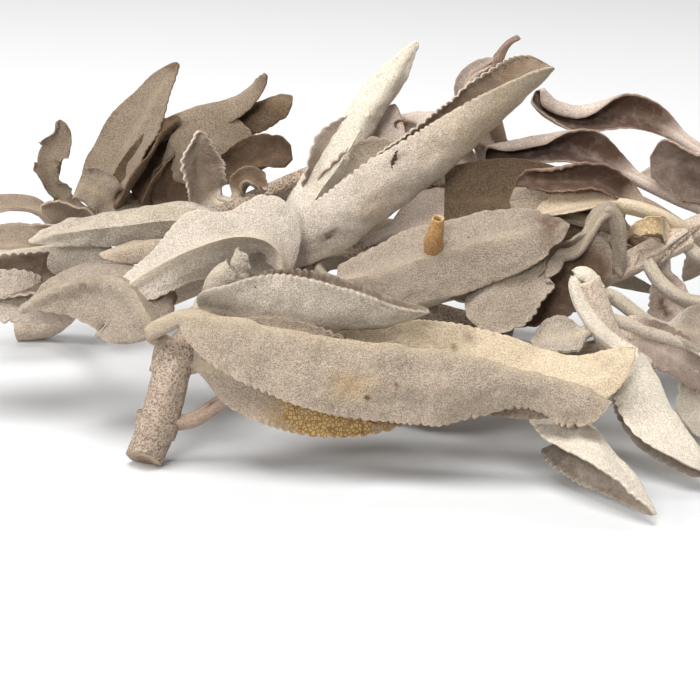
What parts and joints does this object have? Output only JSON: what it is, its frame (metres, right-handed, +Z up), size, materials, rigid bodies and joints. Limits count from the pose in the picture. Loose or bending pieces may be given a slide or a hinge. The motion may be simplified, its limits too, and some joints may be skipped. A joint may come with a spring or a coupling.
{
  "type": "sage bunch",
  "caption": "Loose bunch of dried white sage sprigs: rolled and folded felted leaves with fine scalloped margins on short cut woody stems.",
  "frame": {"origin": "on the surface that the bunch lies on, below the middle of its bounding box", "axes": "+X along the bunch towards its right end, +Y away from its front, +Z up"},
  "size_m": [0.1512, 0.0971, 0.0624],
  "materials": {
    "felted_leaf": "matte",
    "mauve_leaf": "matte",
    "dry_leaf": "matte",
    "woody_stem": "matte"
  },
  "bodies": {
    "root": {"front_sprig": "felted_leaf", "middle_sprig": "felted_leaf", "left_sprig": "felted_leaf", "right_sprig": "felted_leaf", "right_back_sprig": "mauve_leaf", "back_sprig": "dry_leaf"}
  },
  "joints": []
}
